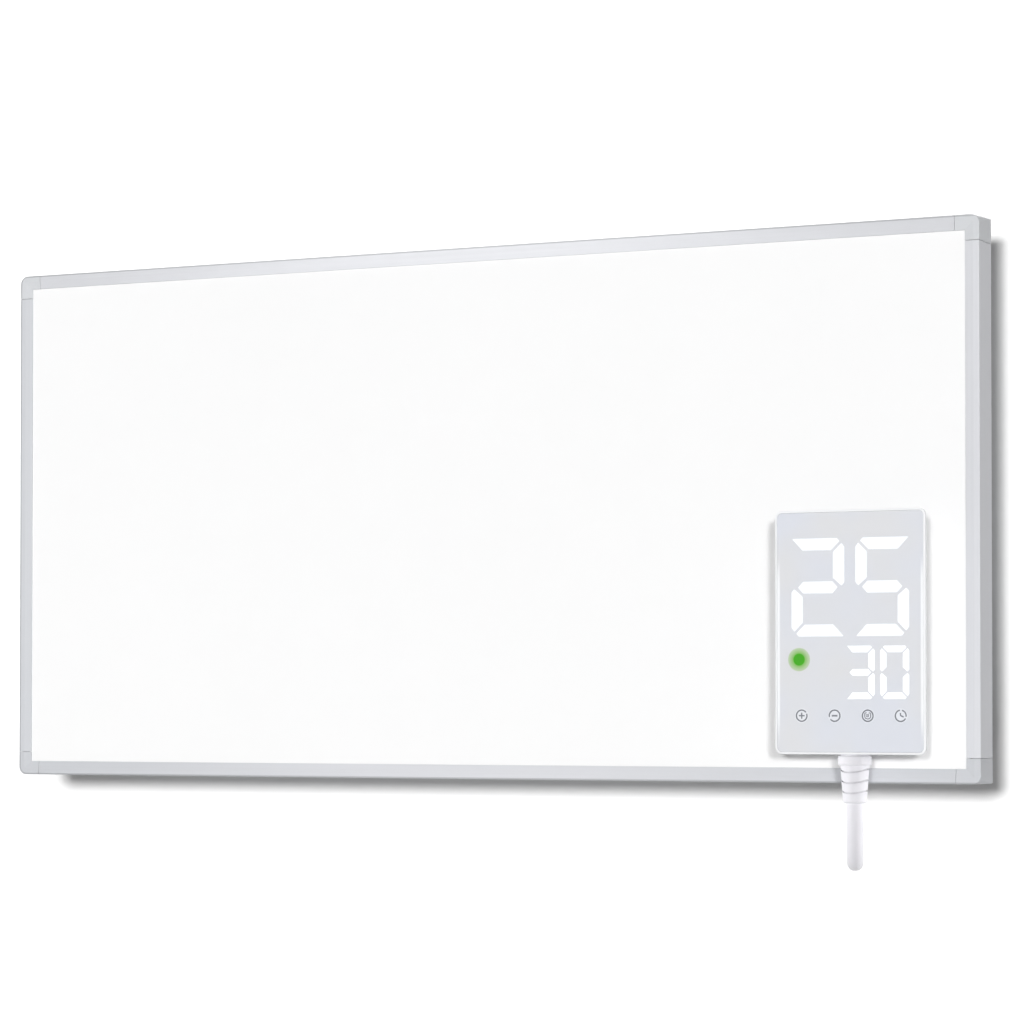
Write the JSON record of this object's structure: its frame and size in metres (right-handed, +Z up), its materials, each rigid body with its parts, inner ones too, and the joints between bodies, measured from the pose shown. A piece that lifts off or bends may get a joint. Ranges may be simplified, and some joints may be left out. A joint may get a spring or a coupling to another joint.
{
  "type": "infrared panel heater",
  "caption": "Flat framed infrared panel heater that hangs on a wall rail, with a touch control unit on keyhole studs at its front and a link lead to the terminal box behind.",
  "frame": {"origin": "middle of the wall rail's screw line, on the wall plane", "axes": "+X to the right seen from the room, +Y into the wall, +Z up"},
  "size_m": [0.6, 0.0809, 0.3474],
  "materials": {
    "frame_lacquer": "satin",
    "corner_moulding": "satin",
    "panel_white": "satin",
    "rear_zinc": "satin",
    "zinc_steel": "satin",
    "dark_laminate": "matte",
    "copper_strip": "satin",
    "bright_foil": "polished",
    "fibre_board": "matte",
    "buffer_rubber": "matte",
    "grey_moulding": "matte",
    "white_moulding": "satin",
    "wire_sleeve": "satin",
    "brass_metal": "satin",
    "ceramic_body": "matte",
    "tinted_glass": "gloss",
    "circuit_green": "satin",
    "display_black": "gloss",
    "lens_green": "gloss",
    "lead_white": "satin"
  },
  "bodies": {
    "wall_mount": {"wall_rail": "zinc_steel"},
    "heater": {"frame_top": "frame_lacquer", "frame_bottom": "frame_lacquer", "frame_left": "frame_lacquer", "frame_right": "frame_lacquer", "corner_top_left": "corner_moulding", "corner_top_right": "corner_moulding", "corner_bottom_left": "corner_moulding", "corner_bottom_right": "corner_moulding", "corner_screws": "zinc_steel", "front_plate": "panel_white", "heating_film": "dark_laminate", "busbars": "copper_strip", "reflector_foil": "bright_foil", "insulation_board": "fibre_board", "rear_cover": "rear_zinc", "hanger_brackets": "zinc_steel", "blind_rivets": "zinc_steel", "wall_spacers": "buffer_rubber", "terminal_box_base": "grey_moulding", "terminal_box_cover": "grey_moulding", "terminal_box_screws": "zinc_steel", "terminal_block": "white_moulding", "element_leads": "wire_sleeve", "wire_grommet": "buffer_rubber", "earth_stud": "brass_metal", "thermal_cutout": "ceramic_body", "cutout_bracket": "zinc_steel", "lead_grommet": "buffer_rubber", "mains_gland": "grey_moulding", "hanging_studs": "zinc_steel", "stud_spacers": "white_moulding", "stud_nuts": "zinc_steel"},
    "control_unit": {"control_bezel": "white_moulding", "touch_glass": "tinted_glass", "control_rear_shell": "white_moulding", "control_screws": "zinc_steel", "display_board": "circuit_green", "led_display_module": "display_black", "indicator_lens": "lens_green", "touch_springs": "zinc_steel", "relay": "display_black", "power_module": "display_black", "temperature_sensor": "display_black", "strain_relief": "lead_white", "lead_clamp": "white_moulding", "link_lead": "lead_white"}
  },
  "joints": [
    {"name": "heater_lift", "type": "slide", "parent": "wall_mount", "child": "heater", "axis": [0, 0, 1], "range_m": [0, 0.012]},
    {"name": "control_lift", "type": "slide", "parent": "heater", "child": "control_unit", "axis": [0, 0, 1], "range_m": [0, 0.008]}
  ]
}
